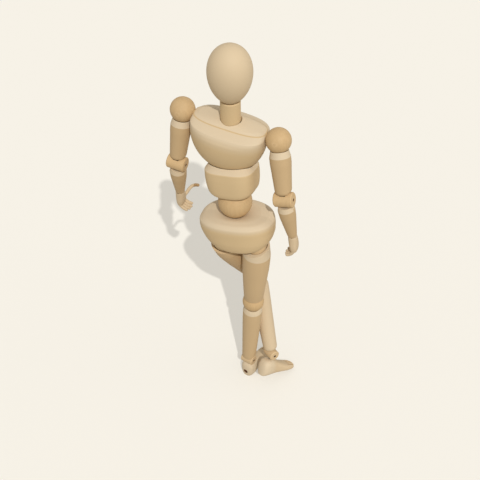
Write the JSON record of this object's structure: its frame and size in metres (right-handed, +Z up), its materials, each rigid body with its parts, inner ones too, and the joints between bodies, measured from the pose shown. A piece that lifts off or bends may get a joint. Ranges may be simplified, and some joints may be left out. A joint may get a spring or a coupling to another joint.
{
  "type": "artist mannequin",
  "caption": "Jointed wooden lay figure for drawing practice, strung on springs over ball and barrel joints, standing free with crossed legs.",
  "frame": {"origin": "point of the right sole straight under the right ankle's centre", "axes": "+Z up, +Y roughly the way the figure faces, +X roughly its right hand side"},
  "size_m": [0.0928, 0.0618, 0.3038],
  "materials": {
    "wood": "smooth, clear satin",
    "ball_wood": "smooth, clear satin",
    "steel": "plain wire"
  },
  "bodies": {
    "pelvis": {"pelvis": "wood"},
    "waist": {"waist_ball": "ball_wood", "waist_pin": "steel"},
    "abdomen": {"abdomen": "wood", "spine_spring": "steel"},
    "chest": {"chest": "wood", "chest_pin": "steel", "neck_pin": "steel"},
    "neck": {"neck": "wood"},
    "head": {"head": "wood"},
    "left_shoulder": {"left_shoulder_ball": "ball_wood", "left_shoulder_pin": "steel"},
    "left_upper_arm": {"left_upper_arm": "wood", "left_arm_spring": "steel"},
    "left_elbow": {"left_elbow": "ball_wood", "left_elbow_pin": "steel"},
    "left_forearm": {"left_forearm": "wood", "left_forearm_spring": "steel", "left_wrist": "ball_wood", "left_wrist_pin": "steel"},
    "left_hand": {"left_hand": "wood", "left_hand_hook": "steel"},
    "left_hip": {"left_hip_ball": "ball_wood", "left_hip_pin": "steel"},
    "left_thigh": {"left_thigh": "wood", "left_thigh_spring": "steel"},
    "left_knee": {"left_knee": "ball_wood", "left_knee_pin": "steel"},
    "left_shin": {"left_shin": "wood", "left_shin_spring": "steel"},
    "left_ankle": {"left_ankle": "ball_wood", "left_ankle_pin": "steel", "left_foot_peg": "steel"},
    "left_foot": {"left_foot": "wood"},
    "right_shoulder": {"right_shoulder_ball": "ball_wood", "right_shoulder_pin": "steel"},
    "right_upper_arm": {"right_upper_arm": "wood", "right_arm_spring": "steel"},
    "right_elbow": {"right_elbow": "ball_wood", "right_elbow_pin": "steel"},
    "right_forearm": {"right_forearm": "wood", "right_forearm_spring": "steel", "right_wrist": "ball_wood", "right_wrist_pin": "steel"},
    "right_hand": {"right_hand": "wood", "right_hand_hook": "steel"},
    "right_hip": {"right_hip_ball": "ball_wood", "right_hip_pin": "steel"},
    "right_thigh": {"right_thigh": "wood", "right_thigh_spring": "steel"},
    "right_knee": {"right_knee": "ball_wood", "right_knee_pin": "steel"},
    "right_shin": {"right_shin": "wood", "right_shin_spring": "steel"},
    "right_ankle": {"right_ankle": "ball_wood", "right_ankle_pin": "steel", "right_foot_peg": "steel"},
    "right_foot": {"right_foot": "wood"}
  },
  "joints": [
    {"name": "waist_turn", "type": "hinge", "parent": "pelvis", "child": "waist", "pos_m": [0.0006, 0.00356, 0.18815], "axis": [-0.0221, 0.1411, 0.9898], "range_deg": [-35, 35]},
    {"name": "abdomen_bend", "type": "hinge", "parent": "waist", "child": "abdomen", "pos_m": [0.0006, 0.00356, 0.18815], "axis": [0.9079, -0.4117, 0.079], "range_deg": [-20, 15]},
    {"name": "chest_tilt", "type": "hinge", "parent": "abdomen", "child": "chest", "pos_m": [0.00029, 0.01251, 0.23836], "axis": [0.4191, 0.8943, -0.1569], "range_deg": [-13, 5]},
    {"name": "neck_nod", "type": "hinge", "parent": "chest", "child": "neck", "pos_m": [0.00234, 0.01334, 0.24852], "axis": [0.8863, -0.4405, -0.1428], "range_deg": [-22, 8]},
    {"name": "head_turn", "type": "hinge", "parent": "neck", "child": "head", "pos_m": [0.00234, 0.01334, 0.24852], "axis": [0.0589, -0.023, 0.998], "range_deg": [-75, 75]},
    {"name": "left_shoulder_swing", "type": "hinge", "parent": "chest", "child": "left_shoulder", "pos_m": [-0.02825, 0.02797, 0.25022], "axis": [0.8863, -0.4405, -0.1428], "range_deg": [-40, 80]},
    {"name": "left_arm_raise", "type": "hinge", "parent": "left_shoulder", "child": "left_upper_arm", "pos_m": [-0.02825, 0.02797, 0.25022], "axis": [0.4146, 0.8922, -0.179], "range_deg": [-2, 36]},
    {"name": "left_elbow_turn", "type": "hinge", "parent": "left_upper_arm", "child": "left_elbow", "pos_m": [-0.03647, 0.02376, 0.21017], "axis": [0.8877, -0.4398, -0.136], "range_deg": [-12, 18]},
    {"name": "left_elbow_bend", "type": "hinge", "parent": "left_elbow", "child": "left_forearm", "pos_m": [-0.03647, 0.02376, 0.21017], "axis": [0.8877, -0.4398, -0.136], "range_deg": [-12, 18]},
    {"name": "left_wrist_bend", "type": "hinge", "parent": "left_forearm", "child": "left_hand", "pos_m": [-0.03816, 0.03084, 0.17625], "axis": [0.8877, -0.4398, -0.136], "range_deg": [-30, 19]},
    {"name": "left_hip_turn", "type": "hinge", "parent": "pelvis", "child": "left_hip", "pos_m": [-0.01038, 0.00325, 0.15077], "axis": [-0.0221, 0.1411, 0.9898], "range_deg": [-2, 5]},
    {"name": "left_thigh_swing", "type": "hinge", "parent": "left_hip", "child": "left_thigh", "pos_m": [-0.01038, 0.00325, 0.15077], "axis": [0.9355, -0.3463, 0.0703], "range_deg": [0, 8]},
    {"name": "left_knee_turn", "type": "hinge", "parent": "left_thigh", "child": "left_knee", "pos_m": [0.01226, 0.02172, 0.09699], "axis": [0.8849, -0.4026, 0.2344], "range_deg": [0, 24]},
    {"name": "left_knee_bend", "type": "hinge", "parent": "left_knee", "child": "left_shin", "pos_m": [0.01226, 0.02172, 0.09699], "axis": [0.8849, -0.4026, 0.2344], "range_deg": [0, 24]},
    {"name": "left_ankle_bend", "type": "hinge", "parent": "left_shin", "child": "left_ankle", "pos_m": [0.01854, -0.00424, 0.02873], "axis": [0.4936, -0.869, 0.0349], "range_deg": [-20, 20]},
    {"name": "left_foot_turn", "type": "hinge", "parent": "left_ankle", "child": "left_foot", "pos_m": [0.01854, -0.00424, 0.02873], "axis": [0.2494, 0.1799, 0.9515], "range_deg": [-18, 20]},
    {"name": "right_shoulder_swing", "type": "hinge", "parent": "chest", "child": "right_shoulder", "pos_m": [0.03167, -0.00181, 0.24057], "axis": [0.8863, -0.4405, -0.1428], "range_deg": [-40, 80]},
    {"name": "right_arm_raise", "type": "hinge", "parent": "right_shoulder", "child": "right_upper_arm", "pos_m": [0.03167, -0.00181, 0.24057], "axis": [0.3907, 0.877, -0.2798], "range_deg": [-20, 5]},
    {"name": "right_elbow_turn", "type": "hinge", "parent": "right_upper_arm", "child": "right_elbow", "pos_m": [0.03288, -0.01478, 0.20159], "axis": [0.9102, -0.3836, 0.1561], "range_deg": [-10, 20]},
    {"name": "right_elbow_bend", "type": "hinge", "parent": "right_elbow", "child": "right_forearm", "pos_m": [0.03288, -0.01478, 0.20159], "axis": [0.9102, -0.3836, 0.1561], "range_deg": [-10, 20]},
    {"name": "right_wrist_bend", "type": "hinge", "parent": "right_forearm", "child": "right_hand", "pos_m": [0.03782, -0.01701, 0.16732], "axis": [0.9102, -0.3836, 0.1561], "range_deg": [-30, 13]},
    {"name": "right_hip_turn", "type": "hinge", "parent": "pelvis", "child": "right_hip", "pos_m": [0.0132, -0.00652, 0.15269], "axis": [-0.0221, 0.1411, 0.9898], "range_deg": [-2, 25]},
    {"name": "right_thigh_swing", "type": "hinge", "parent": "right_hip", "child": "right_thigh", "pos_m": [0.0132, -0.00652, 0.15269], "axis": [0.8322, -0.546, 0.0964], "range_deg": [-40, 0]},
    {"name": "right_knee_turn", "type": "hinge", "parent": "right_thigh", "child": "right_knee", "pos_m": [0.00742, -0.00321, 0.09185], "axis": [0.8316, -0.5446, -0.1087], "range_deg": [-27, 0]},
    {"name": "right_knee_bend", "type": "hinge", "parent": "right_knee", "child": "right_shin", "pos_m": [0.00742, -0.00321, 0.09185], "axis": [0.8316, -0.5446, -0.1087], "range_deg": [-27, 0]},
    {"name": "right_ankle_bend", "type": "hinge", "parent": "right_shin", "child": "right_ankle", "pos_m": [0, 0, 0.019], "axis": [0.7749, -0.632, 0], "range_deg": [-25, 25]},
    {"name": "right_foot_turn", "type": "hinge", "parent": "right_ankle", "child": "right_foot", "pos_m": [0, 0, 0.019], "axis": [0, 0, 1], "range_deg": [-20, 25]}
  ]
}
